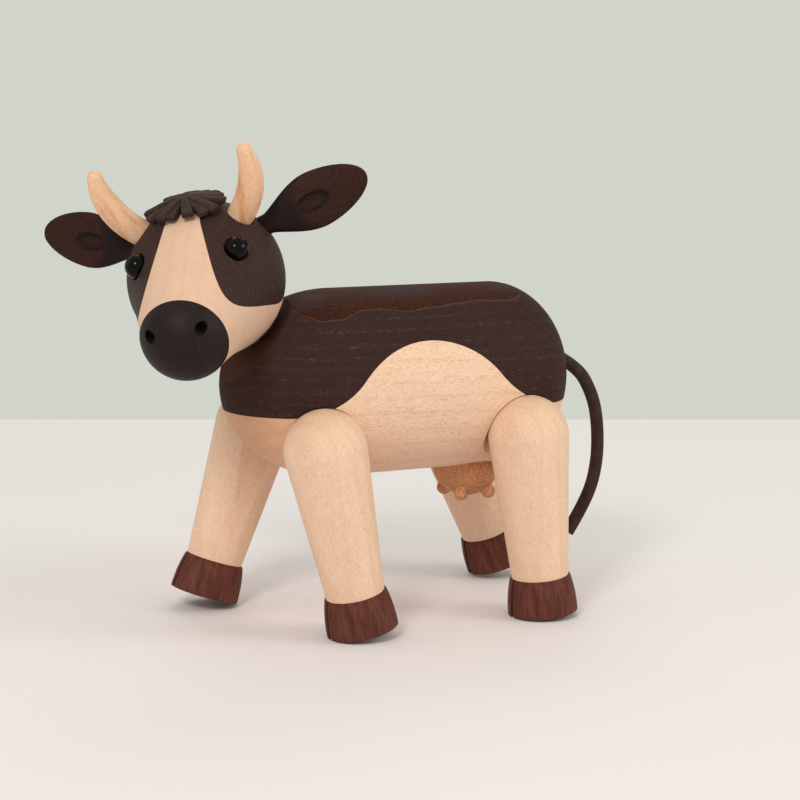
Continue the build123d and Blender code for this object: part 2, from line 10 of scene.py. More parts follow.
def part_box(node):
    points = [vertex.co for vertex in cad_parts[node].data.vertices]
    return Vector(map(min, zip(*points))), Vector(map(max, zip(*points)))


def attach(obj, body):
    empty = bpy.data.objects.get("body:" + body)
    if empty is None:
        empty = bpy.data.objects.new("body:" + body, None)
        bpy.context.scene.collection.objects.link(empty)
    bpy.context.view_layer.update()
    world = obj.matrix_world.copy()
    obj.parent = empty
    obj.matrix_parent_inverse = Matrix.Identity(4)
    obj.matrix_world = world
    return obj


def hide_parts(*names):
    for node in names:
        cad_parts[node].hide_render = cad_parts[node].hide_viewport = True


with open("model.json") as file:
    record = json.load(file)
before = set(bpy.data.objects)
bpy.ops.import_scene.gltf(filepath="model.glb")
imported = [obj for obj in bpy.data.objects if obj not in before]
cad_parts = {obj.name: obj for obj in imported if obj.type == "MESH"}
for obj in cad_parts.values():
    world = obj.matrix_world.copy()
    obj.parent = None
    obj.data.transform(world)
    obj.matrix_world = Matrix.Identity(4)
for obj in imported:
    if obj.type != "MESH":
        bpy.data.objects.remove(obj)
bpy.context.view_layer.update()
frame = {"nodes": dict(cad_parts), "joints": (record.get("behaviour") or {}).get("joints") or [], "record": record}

bl_info = {
    "name": "Jointed Wooden Cow",
    "version": (1, 0, 0),
    "blender": (4, 5, 0),
    "location": "3D View > Sidebar > Cow",
    "description": "Finishes the woods of a jointed cow and makes its head's small pieces, its udder and its tail",
    "category": "Object",
}

# Millimetres as metres, the unit of the frame
MM = 0.001
JOINTS = {joint["name"]: joint for joint in frame["joints"]}
SOLES = {mount["name"]: mount for mount in frame["record"]["mounts"]}
LEGS = ("front_left", "front_right", "rear_left", "rear_right")

# The tail's route from the end of its bore to its cut end, in the middle plane
TAIL_ROUTE = (
    (0.0706, 0, 0.0812),
    (0.0848, 0, 0.0748),
    (0.0915, 0, 0.0643),
    (0.0937, 0, 0.0538),
    (0.0936, 0, 0.0409),
    (0.0900, 0, 0.0292),
    (0.0826, 0, 0.0188),
)

# The lower edge of the reddish layer on the back: places along the cow and heights over the torso's axis
BACK_EDGE = (
    (-21.3, 26.5),
    (-18.0, 22.2),
    (-13.0, 20.5),
    (-6.0, 21.3),
    (0.2, 23.2),
    (6.4, 23.4),
    (14.7, 22.3),
    (26.6, 23.4),
    (39.7, 24.4),
    (50.7, 24.0),
    (57.0, 25.3),
    (58.7, 28.0),
)
# The dark islands in that layer: place along the cow and half length
BACK_ISLANDS = ((-13.0, 6.5), (17.5, 12.0), (52.7, 5.5))

# Seats of the eyes, horns and ears of the right side, in millimetres of the head's own frame
EYE_SEAT = np.array((-12.8, 15.09, 13.54))
EYE_FACING = np.array((-0.365, 0.693, 0.622))
HORN_SEAT = (1.4, 14.4, 16.9)
HORN_BEND = (-0.5, 21.6, 28.2)
HORN_TIP = (-2.1, 22.3, 41.0)
EAR_SEAT = np.array((7.2, 21.1, 11.0))
EAR_ALONG = np.array((0.397, 0.907, 0.143))
EAR_FACING = np.array((-0.875, 0.325, 0.356))
# The oval hollow of an ear in millimetres: its middle along the leaf, its half length, half width and depth
HOLLOW_ALONG, HOLLOW_HALF_LENGTH, HOLLOW_HALF_WIDTH, HOLLOW_DEPTH = 14.5, 5.2, 2.5, 1.3


def rest_angle(joint_name):
    """How far a joint with equal limits both ways is turned at rest, in radians."""
    low, high = JOINTS[joint_name]["range_deg"]
    return -radians(low + high) / 2


def turned(amount, axis):
    """A turn about an axis through the origin, by an amount in radians."""
    return Matrix.Rotation(amount, 4, Vector(axis))


def length(label, description, millimetres):
    """A length that a user can change, given in millimetres."""
    return FloatProperty(name=label, description=description, default=millimetres * MM, unit="LENGTH")


def angle(label, description, degrees):
    """An angle that a user can change, given in degrees."""
    return FloatProperty(name=label, description=description, default=radians(degrees), subtype="ANGLE")


class CowSizes(bpy.types.PropertyGroup):
    """Sizes of the pieces that are made here, and how the head stands on its neck."""

    head_drop: angle("Head drop", "How far the face is dropped on its neck before it turns and tilts", 41.9)
    neck_face: length("Neck face", "From the head's centre to the flat of the neck", 23.9)
    crown_radius: length("Crown radius", "Radius of the head's ball", 23.6)
    forelock_lean: angle("Forelock lean", "How far the forelock sits behind the top of the head", 6.5)
    petal_count: IntProperty(name="Petals", description="Petals of the forelock", default=15, min=3)
    petal_reach: length("Petal reach", "Length of a petal along the crown, from the forelock's middle", 11.2)
    petal_width: length("Petal width", "Width of a petal near its end", 3.7)
    petal_thickness: length("Petal thickness", "Thickness of the leather", 2.1)
    horn_radius: length("Horn radius", "Radius of a horn at its seat", 4.0)
    horn_tip_radius: length("Horn tip", "Radius of a horn's round tip", 1.7)
    ear_length: length("Ear length", "From the head to the ear's tip", 33.0)
    ear_width: length("Ear width", "Width of the ear's leaf", 17.0)
    ear_thickness: length("Ear thickness", "Thickness of the ear in its middle", 4.6)
    eye_radius: length("Eye radius", "Radius of the glass bead", 3.65)
    udder_radius: length("Udder radius", "Radius of the udder's ball", 11.0)
    teat_radius: length("Teat radius", "Radius of a teat", 2.1)
    tail_diameter: length("Tail diameter", "Diameter of the leather cord", 4.2)
    tail_length: length("Tail length", "Length of the cord with what is in its bore", 75.0)


def tint(label, linear):
    """A colour that a user can change, in linear red, green and blue."""
    return FloatVectorProperty(
        name=label, description=label + " colour", default=linear, size=3, subtype="COLOR", min=0, max=1
    )


class CowColours(bpy.types.PropertyGroup):
    """Colours of the woods, the leather and the eyes."""

    maple: tint("Maple", (0.84, 0.59, 0.43))
    maple_deep: tint("Deep maple", (0.62, 0.33, 0.19))
    dark: tint("Smoked wood", (0.038, 0.019, 0.018))
    dark_pore: tint("Smoked wood pore", (0.165, 0.118, 0.104))
    dark_red: tint("Smoked wood early growth", (0.050, 0.024, 0.020))
    warm: tint("Reddish layer", (0.073, 0.024, 0.013))
    warm_deep: tint("Reddish layer speckle", (0.020, 0.007, 0.005))
    black: tint("Muzzle and ear base", (0.013, 0.006, 0.006))
    edge: tint("Edge of the reddish layer", (0.150, 0.085, 0.062))
    face: tint("Face", (0.74, 0.50, 0.37))
    # Painted light: a lighter brown laid in each eye's recess as a lit rim, where the recess would otherwise show shade
    ring: tint("Rim of the eye's recess", (0.100, 0.052, 0.040))
    neck: tint("Neck face", (0.075, 0.027, 0.017))
    hoof: tint("Hoof", (0.082, 0.023, 0.016))
    hoof_light: tint("Light hoof streak", (0.160, 0.051, 0.034))
    horn: tint("Horn", (0.83, 0.53, 0.35))
    horn_deep: tint("Horn streak", (0.62, 0.27, 0.10))
    udder: tint("Udder", (0.72, 0.37, 0.185))
    udder_deep: tint("Udder grain", (0.46, 0.190, 0.085))
    leather: tint("Leather", (0.034, 0.017, 0.013))
    leather_worn: tint("Worn leather", (0.088, 0.050, 0.039))
    eye: tint("Eye", (0.002, 0.002, 0.002))
    beech: tint("Dowel", (0.62, 0.42, 0.25))
    steel: tint("Steel", (0.24, 0.24, 0.25))
    # Brass of the neck's bush, painted near black so that what shows of it in the neck's gap reads as shade
    brass: tint("Brass", (0.115, 0.066, 0.036))
    rubber: tint("Rubber", (0.02, 0.02, 0.02))


class CowStage(bpy.types.PropertyGroup):
    """The floor, the light and the camera."""

    azimuth: angle("Azimuth", "Way the camera looks from", -25.67)
    elevation: angle("Elevation", "Height of the camera's view", 8.145)
    distance: length("Distance", "From the camera to what it looks at", 646.3)
    target: FloatVectorProperty(
        name="Target",
        description="Point that the camera looks at",
        default=(0.02128, 0, 0.06652),
        size=3,
        subtype="TRANSLATION",
    )
    lens: FloatProperty(name="Lens", description="Focal length on a 36 mm sensor, in millimetres", default=92.59)
    floor: tint("Floor", (0.81, 0.755, 0.775))
    surround: tint("Surround", (0.64, 0.66, 0.59))


class Shade:
    """A socket in a material's nodes, on which Python's operators add Math nodes."""

    def __init__(self, tree, socket=None):
        self.tree = tree
        self.socket = socket

    def node(self, kind, settings, sockets, output=0):
        """Adds a node of a kind with its settings, then the values or links of its sockets."""
        made = self.tree.nodes.new(kind)
        for name, value in settings.items():
            if name == "stops":
                self.set_stops(made.color_ramp.elements, value)
            else:
                setattr(made, name, value)
        for key, value in sockets.items():
            if isinstance(value, Shade):
                self.tree.links.new(value.socket, made.inputs[key])
            else:
                made.inputs[key].default_value = value
        return Shade(self.tree, made.outputs[output])

    @staticmethod
    def set_stops(elements, stops):
        """Gives a colour ramp its stops, as pairs of a place and a grey value."""
        while len(elements) < len(stops):
            elements.new(1)
        for element, (place, grey) in zip(elements, stops):
            element.position = place
            element.color = (grey, grey, grey, 1)

    def maths(self, operation, *values, clamp=False):
        return self.node("ShaderNodeMath", {"operation": operation, "use_clamp": clamp}, dict(enumerate(values)))

    def __add__(self, other):
        return self.maths("ADD", self, other)

    def __sub__(self, other):
        return self.maths("SUBTRACT", self, other)

    def __rsub__(self, other):
        return self.maths("SUBTRACT", other, self)

    def __mul__(self, other):
        return self.maths("MULTIPLY", self, other)

    def __truediv__(self, other):
        return self.maths("DIVIDE", self, other)

    __radd__ = __add__
    __rmul__ = __mul__

    def ramp(self, *stops):
        """A value carried through straight pieces between stops."""
        return self.node("ShaderNodeValToRGB", {"stops": stops}, {0: self})

    def mix(self, first, second):
        """A colour between two others, with this value as the factor."""
        colours = {6: opaque(first), 7: opaque(second)}
        return self.node("ShaderNodeMix", {"data_type": "RGBA"}, {0: self, **colours}, 2)

    def stretch(self, x, y, z):
        """A place with each of its axes multiplied."""
        return self.node("ShaderNodeVectorMath", {"operation": "MULTIPLY"}, {0: self, 1: (x, y, z)})

    def noise(self, scale, detail=2.0, roughness=0.5):
        """Smooth noise at this place, from 0 to 1, with a number of waves a millimetre."""
        sockets = {"Vector": self, "Scale": scale, "Detail": detail, "Roughness": roughness}
        return self.node("ShaderNodeTexNoise", {}, sockets, "Fac")

    def axes(self):
        """The three numbers of a place."""
        parts = self.tree.nodes.new("ShaderNodeSeparateXYZ")
        self.tree.links.new(self.socket, parts.inputs[0])
        return [Shade(self.tree, output) for output in parts.outputs]


def opaque(colour):
    """A colour as a node takes it: a link as it is, three numbers with full alpha."""
    return colour if isinstance(colour, Shade) else (*colour, 1)


class Finish:
    """A new material with its shader, and the place on the object in millimetres of a grain's own frame."""

    def __init__(self, name, grain=Matrix.Identity(4)):
        self.material = bpy.data.materials.new(name)
        self.material.use_nodes = True
        tree = self.material.node_tree
        self.shader = next(node for node in tree.nodes if node.type == "BSDF_PRINCIPLED")
        start = Shade(tree)
        coordinates = start.node("ShaderNodeTexCoord", {}, {}, "Object")
        sockets = {
            "Vector": coordinates,
            "Location": grain.to_translation(),
            "Rotation": grain.to_euler(),
            "Scale": (MM, MM, MM),
        }
        self.place = start.node("ShaderNodeMapping", {"vector_type": "TEXTURE"}, sockets)

    def set(self, **values):
        """Sets or links sockets of the shader, named with underscores for spaces."""
        for name, value in values.items():
            socket = self.shader.inputs[name.replace("_", " ")]
            if isinstance(value, Shade):
                value.tree.links.new(value.socket, socket)
            elif socket.type == "RGBA":
                socket.default_value = (*value, 1)
            else:
                socket.default_value = value
        return self

    def bump(self, height, depth, strength=1.0):
        """Raises the surface by a height from 0 to 1, over a depth in millimetres."""
        sockets = {"Height": height, "Distance": depth * MM, "Strength": strength}
        return self.set(Normal=height.node("ShaderNodeBump", {}, sockets))


def grain_frame(origin, along, layers):
    """A frame at a point, with Z along the grain and X as near as it can be to the normal of the growth layers."""
    z = Vector(along).normalized()
    y = z.cross(Vector(layers)).normalized()
    axes = Matrix((y.cross(z), y, z)).transposed()
    return Matrix.Translation(Vector(origin)) @ axes.to_4x4()


def maple(name, grain, pale, deep, fleck=1.0, streak=0.0, end=None):
    """Fine pale wood: soft growth layers, a mottled figure and short dense flecks along the grain.

    End, if given, is the place along the grain where the deeper end grain starts, over how far, and how deep; at the
    chest it is also painted shade."""
    finish = Finish(name, grain)
    place = finish.place
    across = place.axes()[0] + place.stretch(1, 1, 0.30).noise(0.05, 1.0) * 9.0
    ring = across.maths("PINGPONG", across, 2.6) / 2.6
    band = ring.ramp((0.0, 0.0), (0.70, 0.15), (0.92, 1.0), (1.0, 0.5))
    mottle = place.stretch(1, 1, 0.30).noise(0.24, 3.0, 0.6).ramp((0.40, 0.0), (0.72, 1.0))
    flecks = place.stretch(1, 1, 0.28).noise(3.0, 2.0, 0.6).ramp((0.48, 0.0), (0.64, 1.0))
    fibre = place.stretch(1, 1, 0.04).noise(3.0, 2.0)
    figure = place.stretch(1, 1, 0.12).noise(0.30, 2.0).ramp((0.50, 0.0), (0.66, 1.0))
    tone = band * 0.14 + mottle * 0.15 + flecks * (0.36 * fleck) + (fibre - 0.5) * 0.30 + figure * streak
    if end is not None:
        start, run, depth = end
        tone = tone + ((place.axes()[2] - start) / run).ramp((0.0, 0.0), (1.0, depth))
    colour = tone.maths("MAXIMUM", tone, 0.0).mix(pale, deep)
    finish.set(Base_Color=colour, Roughness=0.56 + fibre * 0.16, Specular_IOR_Level=0.30)
    return finish.bump(flecks * -0.6 + fibre * 0.5, 0.04, 0.5).material


def smoked(name, grain, colours, layer=3.4, pore_share=1.0, ground=None, warm=None, bare=None, gloss=0.10):
    """Dark open grained wood: growth layers with rows of short pale pores that run along the grain.

    Warm and bare, if given, take the place to where the reddish layer and its pale edge show, which on an ear is held
    back as painted shade round its hollow, and to where the wood is cut bare, which round an eye is a painted lit rim.
    The layer has a fine dark speckle."""
    finish = Finish(name, grain)
    place = finish.place
    warp = place.stretch(1, 1, 0.16).noise(0.10, 1.5)
    height = place.axes()[0] + (warp - 0.5) * 5.0
    ring = height.maths("FRACT", height / layer)
    early = ring.ramp((0.0, 0.10), (0.10, 1.0), (0.26, 0.45), (0.50, 0.02), (1.0, 0.10))
    lines = place.stretch(1, 1, 0.15).noise(3.4, 1.5, 0.55).ramp((0.52, 0.0), (0.66, 1.0))
    breaks = place.stretch(1, 1, 0.45).noise(0.8, 1.0).ramp((0.36, 0.0), (0.60, 1.0))
    pores = lines * breaks * (0.14 + early * 0.86)
    broad = place.stretch(1, 1, 0.3).noise(0.07, 1.0).ramp((0.40, 0.0), (0.75, 1.0))
    low, high = (colours.dark, colours.dark_red) if ground is None else ground
    colour = (early * 0.35 + broad * 0.5).mix(low, high)
    if warm is not None:
        shown, rim = warm(place)
        speckle = place.noise(2.6, 2.5, 0.65).ramp((0.40, 0.0), (0.58, 1.0))
        colour = shown.mix(colour, speckle.mix(colours.warm, colours.warm_deep))
        if rim is not None:
            colour = rim.mix(colour, colours.edge)
        pores = pores * (1 - shown * 0.75)
    if bare is not None:
        # Bare places: the neck's cut face, and round each eye a painted lit rim
        cut, cut_colour = bare(place)
        colour = cut.mix(colour, cut_colour)
        pores = pores * (1 - cut)
    colour = (pores * (0.62 * pore_share)).mix(colour, colours.dark_pore)
    finish.set(Base_Color=colour, Roughness=0.62 - gloss * 0.5 + pores * 0.15, Specular_IOR_Level=gloss)
    return finish.bump(pores * -1.0 + warp * 0.2, 0.08, 0.6).material


def back_layer(middle):
    """Where the reddish layer shows on the back, above its edge and outside its dark islands, and its thin pale edge.

    The place is in the torso's frame: height over the axis, way to the left, way to the tail from the middle."""

    def shown(place):
        up, left, along = place.axes()
        along = along + middle
        start, end = BACK_EDGE[0][0], BACK_EDGE[-1][0]
        low, high = 18.0, 30.0
        stops = [((x - start) / (end - start), (rise - low) / (high - low)) for x, rise in BACK_EDGE]
        ripple = place.stretch(1, 1, 0.5).noise(0.35, 1.0) - 0.5
        edge = ((along - start) / (end - start)).ramp(*stops) * (high - low) + low
        layer = (up - edge + ripple * 0.8).ramp((0.0, 0.0), (0.45, 1.0))
        across = left.maths("ABSOLUTE", left)
        island = None
        for centre, half_length in BACK_ISLANDS:
            away_x = (along - centre) / half_length
            away_y = (across - 8.5) / 5.0
            inside = 1 - away_x * away_x - away_y * away_y + ripple * 0.8
            island = inside if island is None else inside.maths("MAXIMUM", inside, island)
        return layer * (1 - island.ramp((0.0, 0.0), (0.6, 0.95))), layer * (1 - layer) * 1.3

    return shown


def neck_face(axis):
    """Where the neck's flat face is cut through the reddish layer of the back, fading to the top.

    A place is on it when it lies above the face's plane, which is square to the neck's axis."""
    turn = JOINTS["neck_turn"]
    normal = Vector(turn["axis"])
    offset = (Vector(axis) - Vector(turn["pos_m"])).dot(normal) / MM
    face = bpy.context.scene.cow_sizes.neck_face / MM

    def shown(place):
        up, left, along = place.axes()
        level = up * normal.z + along * normal.x + (offset + face)
        on_face = (level + 0.15).ramp((0.0, 0.0), (0.1, 1.0))
        low_down = 1 - (up / 30.0).ramp((0.40, 0.0), (0.70, 0.9))
        return on_face * low_down, bpy.context.scene.cow_colours.neck

    return shown


def eye_recess_lit_rim(grain, side, radius=4.4):
    """Where the recess of one eye is cut in its patch, painted lighter as a lit rim: within a radius of the eye's axis,
    in millimetres.
    """
    to_grain = grain.inverted() @ head_frame()
    seat = to_grain @ (Vector(EYE_SEAT * (1, side, 1)) * MM) / MM
    facing = (to_grain.to_3x3() @ Vector(EYE_FACING * (1, side, 1))).normalized()

    def shown(place):
        away = [axis - start for axis, start in zip(place.axes(), seat)]
        along = away[0] * facing.x + away[1] * facing.y + away[2] * facing.z
        square = away[0] * away[0] + away[1] * away[1] + away[2] * away[2] - along * along
        near = (square / radius**2).ramp((0.94, 1.0), (1.0, 0.0)) * (along + 6.0).ramp((0.0, 0.0), (1.0, 1.0))
        return near, bpy.context.scene.cow_colours.ring

    return shown


def streaked(name, grain, pale, deep, width=1.4):
    """Reddish wood with fine streaks of uneven width along the grain."""
    finish = Finish(name, grain)
    place = finish.place
    streak = place.stretch(1, 1, 0.10).noise(1 / width, 3.0, 0.65)
    pores = place.stretch(1, 1, 0.08).noise(3.2, 1.0).ramp((0.50, 0.0), (0.66, 1.0))
    colour = streak.ramp((0.38, 0.0), (0.68, 1.0)).mix(deep, pale)
    colour = (pores * 0.55).mix(colour, deep)
    finish.set(Base_Color=colour, Roughness=0.58 + pores * 0.2, Specular_IOR_Level=0.14)
    return finish.bump(pores * -1.0 + streak * 0.4, 0.08, 0.6).material


def leather(name, colours):
    """Matt dark leather: pebbled grain, with the raised places worn paler."""
    finish = Finish(name)
    place = finish.place
    pebble = place.node("ShaderNodeTexVoronoi", {"feature": "SMOOTH_F1"}, {"Vector": place, "Scale": 1.5}, "Distance")
    scuff = place.noise(0.35, 3.0, 0.65)
    worn = scuff.ramp((0.45, 0.0), (0.75, 1.0)) * 0.55 + pebble * 0.12
    finish.set(
        Base_Color=worn.mix(colours.leather, colours.leather_worn),
        Roughness=0.62 + scuff * 0.2,
        Specular_IOR_Level=0.16,
    )
    return finish.bump(pebble * -1.0 + scuff * 0.5, 0.10, 0.7).material


def eye_glass(colours):
    """Polished black, with the faintest cloud in its gloss."""
    finish = Finish("eye_black")
    cloud = finish.place.noise(0.8)
    finish.set(Base_Color=colours.eye, Roughness=0.05 + cloud * 0.03, Specular_IOR_Level=0.13)
    return finish.material


def metal(name, colour, roughness):
    """Turned metal with fine tool marks."""
    finish = Finish(name)
    marks = finish.place.noise(6.0)
    finish.set(Base_Color=colour, Metallic=1.0, Roughness=roughness + marks * 0.12)
    return finish.material


def paint(node_names, material):
    """Gives CAD nodes one finish."""
    for name in node_names:
        slots = frame["nodes"][name].material_slots
        for slot in slots:
            slot.material = material


def head_frame():
    """The head's own frame at rest: face to -X, left to -Y, crown to +Z, origin at its centre."""
    turn, tilt = JOINTS["neck_turn"], JOINTS["head_tilt"]
    drop = turned(-bpy.context.scene.cow_sizes.head_drop, (0, 1, 0))
    pose = turned(rest_angle("head_tilt"), tilt["axis"]) @ turned(rest_angle("neck_turn"), turn["axis"])
    return Matrix.Translation(Vector(turn["pos_m"])) @ pose @ drop


def leg_frame(leg, ring=(1, 0.6, 0)):
    """The grain of one leg: from its hip, along the leg."""
    along = -Vector(SOLES[leg + "_sole"]["axis"])
    return grain_frame(JOINTS[leg + "_hip"]["pos_m"], along, ring)


def in_head(origin, along, layers):
    """A grain frame given in the head's own frame, in millimetres."""
    head = head_frame()
    turn = head.to_3x3()
    return grain_frame(head @ (Vector(origin) * MM), turn @ Vector(along), turn @ Vector(layers))


def closed_bars(name, rings):
    """A mesh of bars, from points of the form bar, ring, place round the ring and axis.

    Each bar's rings are joined in order, and its two ends close on one point each."""
    bars, steps, sides, _ = rings.shape
    count = steps * sides
    ends = np.stack([rings[:, 0].mean(1), rings[:, -1].mean(1)], 1)
    points = np.concatenate([rings.reshape(bars, count, 3), ends], 1).reshape(-1, 3)
    step, side = np.meshgrid(np.arange(steps - 1), np.arange(sides), indexing="ij")
    after = (side + 1) % sides
    walls = np.stack([step * sides + side, step * sides + after, (step + 1) * sides + after, (step + 1) * sides + side])
    walls = walls.reshape(4, -1).T
    round_end = np.arange(sides)
    next_end = (round_end + 1) % sides
    first = np.stack([np.full(sides, count), next_end, round_end], 1)
    last = np.stack([np.full(sides, count + 1), count - sides + round_end, count - sides + next_end], 1)
    shift = (np.arange(bars) * (count + 2))[:, None, None]
    faces = (walls + shift).reshape(-1, 4).tolist() + (np.vstack([first, last]) + shift).reshape(-1, 3).tolist()
    mesh = bpy.data.meshes.new(name)
    mesh.from_pydata(points.tolist(), [], faces)
    mesh.update()
    mesh.shade_smooth()
    mesh.set_sharp_from_angle(angle=radians(42))
    return mesh


def add_piece(name, data, material, body, slot, *nodes):
    """Puts new data in the scene as a piece that rides on a body and stands for CAD nodes."""
    piece = bpy.data.objects.new(name, data)
    bpy.context.scene.collection.objects.link(piece)
    data.materials.append(material)
    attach(piece, body)
    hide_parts(*nodes)
    return piece


class COW_OT_tail(bpy.types.Operator):
    """Make the leather cord of the tail along its route"""

    bl_idname = "cow.tail"
    bl_label = "Tail"

    def execute(self, context):
        sizes = context.scene.cow_sizes
        curve = bpy.data.curves.new("tail_cord", "CURVE")
        curve.dimensions = "3D"
        curve.bevel_depth = sizes.tail_diameter / 2
        curve.bevel_resolution = 6
        curve.use_fill_caps = True
        spline = curve.splines.new("NURBS")
        spline.points.add(len(TAIL_ROUTE) - 1)
        route = np.hstack([np.array(TAIL_ROUTE), np.ones((len(TAIL_ROUTE), 1))])
        spline.points.foreach_set("co", route.ravel())
        spline.order_u = 3
        spline.use_endpoint_u = True
        spline.resolution_u = 12
        look = leather("tail_leather", context.scene.cow_colours)
        tail = add_piece("tail_cord", curve, look, "torso", "leather", "tail")
        return {"FINISHED"}


def petal_rings(sizes, steps=22, sides=16):
    """The petals of the forelock in the frame of the crown's top, Z out of the head.

    A petal runs along a circle about the head's centre whose radius falls from its root to its end.
    Its section is a flat oval, widest near the end, which is cut off square and lifts a little."""
    count = sizes.petal_count
    index = np.arange(count)[:, None, None]
    run = np.linspace(0.02, 1, steps)[None, :, None]
    around = np.linspace(0, 2 * pi, sides, endpoint=False)[None, None, :]
    turn = 2 * pi * index / count + 0.10 * np.sin(2.4 * index)
    reach = sizes.petal_reach * (1 + 0.07 * np.sin(5.1 * index + 0.7))
    thick = sizes.petal_thickness / 2
    blunt = np.clip((run - 0.93) / 0.07, 0, 1)
    close = 1 - 0.30 * blunt**2
    half_width = sizes.petal_width / 2 * (0.36 + 0.64 * np.sqrt(run)) * close
    half_thick = thick * close
    lift = thick * (1.9 - 0.9 * run + 0.30 * np.sin(3.3 * index + 1)) + 0.0012 * run**4
    lean = run * reach / sizes.crown_radius
    side = half_width * np.sign(np.cos(around)) * np.abs(np.cos(around)) ** 0.5
    rise = half_thick * np.sign(np.sin(around)) * np.abs(np.sin(around)) ** 0.5
    radius = sizes.crown_radius + lift + rise
    out = radius * np.sin(lean)
    up = radius * np.cos(lean) + 0 * around
    x = out * np.cos(turn) - side * np.sin(turn)
    y = out * np.sin(turn) + side * np.cos(turn)
    return np.stack(np.broadcast_arrays(x, y, up), -1)


class COW_OT_forelock(bpy.types.Operator):
    """Make the forelock, a rosette of thick leather petals bent over the crown"""

    bl_idname = "cow.forelock"
    bl_label = "Forelock"

    def execute(self, context):
        sizes = context.scene.cow_sizes
        mesh = closed_bars("forelock_petals", petal_rings(sizes))
        mesh.transform(head_frame() @ turned(sizes.forelock_lean, (0, 1, 0)))
        look = leather("forelock_leather", context.scene.cow_colours)
        add_piece("forelock_petals", mesh, look, "head", "leather", "forelock")
        return {"FINISHED"}


class COW_OT_torso(bpy.types.Operator):
    """Finish the dark back and the pale belly, with the grain along the cow"""

    bl_idname = "cow.torso"
    bl_label = "Torso"

    def execute(self, context):
        colours = context.scene.cow_colours
        low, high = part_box("back_block")
        middle = ((low + high) / 2).x
        axis = (middle, 0, high.z - (high.y - low.y) / 2)
        along = grain_frame(axis, (1, 0, 0), (0, 0, 1))
        layer, face = back_layer(middle / MM), neck_face(axis)
        paint(["back_block"], smoked("back_wood", along, colours, 3.4, 0.75, warm=layer, bare=face, gloss=0.03))
        # Deeper toward the chest, from 36 mm ahead of the middle over 14 mm: end grain, and partly painted shade of the
        # chest under the head
        chest_grain_and_shade = (-36, -14, 0.85)
        look = maple("belly_wood", along, colours.maple, colours.maple_deep, 1.35, end=chest_grain_and_shade)
        paint(["belly_block"], look)
        return {"FINISHED"}


class COW_OT_head(bpy.types.Operator):
    """Finish the head's pale core, its two dark patches and the muzzle"""

    bl_idname = "cow.head"
    bl_label = "Head"

    def execute(self, context):
        colours = context.scene.cow_colours
        core = in_head((0, 0, 0), (0.3, 0, 1), (0, 1, 0))
        paint(["head_core"], maple("face_wood", core, colours.face, colours.maple_deep))
        for side, word in ((-1, "left"), (1, "right")):
            patch = in_head((0, side * 15, 7), (0.25, 0, 1), (1, side * 0.4, 0))
            # Each eye's recess is painted lighter, as a painted lit rim
            recess = eye_recess_lit_rim(patch, side)
            look = smoked(word + "_patch_wood", patch, colours, 2.2, 0.6, warm=self.crown_layer, bare=recess)
            paint([word + "_face_patch"], look)
        muzzle = in_head((-38, 0, 0), (0, 0, 1), (0, 1, 0))
        paint(["muzzle"], smoked("muzzle_wood", muzzle, colours, 2.2, 0.22, (colours.black, colours.black), gloss=0.18))
        return {"FINISHED"}

    @staticmethod
    def crown_layer(place):
        """The reddish layer near the crown and in front of the eyes."""
        cloud = place.noise(0.12, 2.0) - 0.5
        return (place.axes()[2] / 14.0 - 0.3 + cloud * 1.6).ramp((0.0, 0.0), (0.9, 0.35)), None


def eye_rings(sizes, steps=40, sides=64):
    """One glass bead in the eye's frame, Z out of the head: a ball cut flat on the bottom of its recess.

    A ring's height is the ball's radius times the cosine of the way down from the top."""
    radius, bottom = sizes.eye_radius, -1.0 * MM
    down = np.linspace(0.02, np.arccos(bottom / radius), steps)[:, None]
    around = np.linspace(0, 2 * pi, sides, endpoint=False)
    x = radius * np.sin(down) * np.cos(around)
    y = radius * np.sin(down) * np.sin(around)
    z = radius * np.cos(down) + 0 * around
    return np.stack([x, y, z], -1)[None, ::-1]


class COW_OT_eyes(bpy.types.Operator):
    """Make the eyes, round beads of polished black glass"""

    bl_idname = "cow.eyes"
    bl_label = "Eyes"

    def execute(self, context):
        sizes = context.scene.cow_sizes
        look = eye_glass(context.scene.cow_colours)
        for side, word in ((-1, "left"), (1, "right")):
            mesh = closed_bars(word + "_bead", eye_rings(sizes))
            mesh.transform(in_head(EYE_SEAT * (1, side, 1), EYE_FACING * (1, side, 1), (0, 0, 1)))
            add_piece(word + "_bead", mesh, look, "head", "eye_black", word + "_eye")
        return {"FINISHED"}


def horn_rings(sizes, side, steps=56, sides=40):
    """One horn in the head's frame, round in section on a curve through its seat, its bend and its tip.

    The curve is the parabola seat + 2 t (1 - t) (pull - seat) + t t (tip - seat) with its pull point placed so
    that it meets the bend halfway. The radius swells by a twentieth, falls with t to the power 2.6, and closes
    on a half ball at the tip."""
    mirror = np.array((1, side, 1))
    seat, bend, tip = (np.array(point) * mirror * MM for point in (HORN_SEAT, HORN_BEND, HORN_TIP))
    pull = 2 * bend - (seat + tip) / 2
    t = np.sin(np.linspace(0, pi / 2, steps))[:, None]
    middle = (1 - t) ** 2 * seat + 2 * t * (1 - t) * pull + t**2 * tip
    along = 2 * (1 - t) * (pull - seat) + 2 * t * (tip - pull)
    along /= np.linalg.norm(along, axis=1, keepdims=True)
    across = np.cross(along, (1, 0, 0))
    across /= np.linalg.norm(across, axis=1, keepdims=True)
    third = np.cross(along, across)
    left = np.linalg.norm(tip - middle, axis=1, keepdims=True) / sizes.horn_tip_radius
    cap = np.sqrt(np.clip(1 - (1 - np.minimum(left, 1)) ** 2, 1e-4, 1))
    fall = (sizes.horn_radius - sizes.horn_tip_radius) * t**2.6
    radius = (sizes.horn_radius * (1 + 0.05 * np.sin(pi * t)) - fall) * cap
    around = np.linspace(0, 2 * pi, sides, endpoint=False)[None, :, None]
    ring = across[:, None] * np.cos(around) + third[:, None] * np.sin(around)
    return (middle[:, None] + radius[:, None] * ring)[None]


